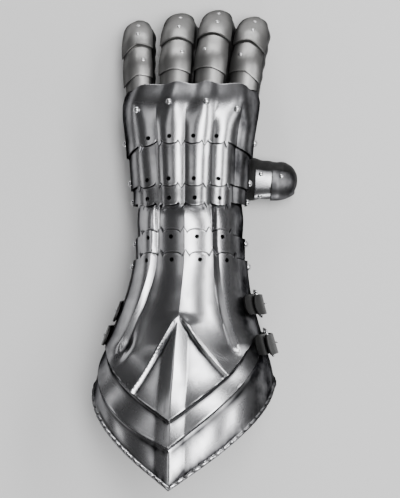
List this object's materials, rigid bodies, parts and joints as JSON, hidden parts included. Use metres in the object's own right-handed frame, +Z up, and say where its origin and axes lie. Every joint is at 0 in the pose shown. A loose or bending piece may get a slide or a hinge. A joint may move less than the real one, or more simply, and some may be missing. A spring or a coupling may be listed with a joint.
{
  "type": "armoured gauntlet",
  "caption": "Left-hand steel gauntlet: flared fluted cuff, riveted wrist lames, hand plate, finger and thumb plates over a black leather glove, cuff straps with buckles.",
  "frame": {"origin": "centre of the bounding box at the surface that the gauntlet lies on, palm down", "axes": "+Y along the arm from the elbow towards the fingertips, +X towards the thumb, +Z up out of the back of the hand"},
  "size_m": [0.1592, 0.3692, 0.1089],
  "materials": {
    "polished_steel": "polished, lightly brushed along the arm",
    "satin_steel": "satin",
    "rivet_steel": "satin",
    "black_leather": "soft matt black leather",
    "strap_leather": "smooth black leather"
  },
  "bodies": {
    "hand": {"hand_plate": "polished_steel", "little_proximal_plate": "satin_steel", "little_middle_plate": "satin_steel", "little_tip_plate": "satin_steel", "ring_proximal_plate": "satin_steel", "ring_middle_plate": "satin_steel", "ring_tip_plate": "satin_steel", "middle_proximal_plate": "satin_steel", "middle_middle_plate": "satin_steel", "middle_tip_plate": "satin_steel", "index_proximal_plate": "satin_steel", "index_middle_plate": "satin_steel", "index_tip_plate": "satin_steel", "thumb_base_plate": "satin_steel", "thumb_tip_plate": "satin_steel", "glove_little": "black_leather", "glove_ring": "black_leather", "glove_middle": "black_leather", "glove_index": "black_leather", "glove_thumb": "black_leather", "glove_hand": "black_leather", "knuckle_rivet_little": "rivet_steel", "knuckle_rivet_ring": "rivet_steel", "knuckle_rivet_middle": "rivet_steel", "knuckle_rivet_index": "rivet_steel", "rivet_knuckle_side_thumb": "rivet_steel", "rivet_knuckle_side_little": "rivet_steel"},
    "hand_lame_front": {"hand_lame_front": "polished_steel", "rivet_hand_side_thumb": "rivet_steel", "rivet_hand_side_little": "rivet_steel"},
    "hand_lame_back": {"hand_lame_back": "polished_steel", "rivet_wrist_front_thumb": "rivet_steel", "rivet_wrist_front_little": "rivet_steel"},
    "wrist_lame_front": {"wrist_lame_front": "polished_steel"},
    "wrist_lame_back": {"wrist_lame_back": "polished_steel", "rivet_wrist_back_thumb": "rivet_steel", "rivet_wrist_back_little": "rivet_steel"},
    "cuff": {"cuff": "polished_steel", "rivet_cuff_side_thumb": "rivet_steel", "rivet_cuff_side_little": "rivet_steel", "strap_front": "strap_leather", "strap_rear": "strap_leather", "tab_front": "strap_leather", "tab_rear": "strap_leather", "buckle_front": "rivet_steel", "buckle_rear": "rivet_steel"}
  },
  "joints": [
    {"name": "knuckle_side", "type": "hinge", "parent": "hand", "child": "hand_lame_front", "pos_m": [-0.005, 0.07486, 0.03463], "axis": [1, 0, 0], "range_deg": [-1, 5]},
    {"name": "hand_side", "type": "hinge", "parent": "hand_lame_front", "child": "hand_lame_back", "pos_m": [-0.005, 0.04336, 0.03613], "axis": [1, 0, 0], "range_deg": [-1, 5]},
    {"name": "wrist_front", "type": "hinge", "parent": "hand_lame_back", "child": "wrist_lame_front", "pos_m": [-0.005, 0.02836, 0.03667], "axis": [1, 0, 0], "range_deg": [-1, 5]},
    {"name": "wrist_back", "type": "hinge", "parent": "wrist_lame_front", "child": "wrist_lame_back", "pos_m": [-0.005, -0.00414, 0.03763], "axis": [1, 0, 0], "range_deg": [-1, 5]},
    {"name": "cuff_side", "type": "hinge", "parent": "wrist_lame_back", "child": "cuff", "pos_m": [-0.005, -0.02214, 0.03823], "axis": [1, 0, 0], "range_deg": [-1, 5]}
  ]
}
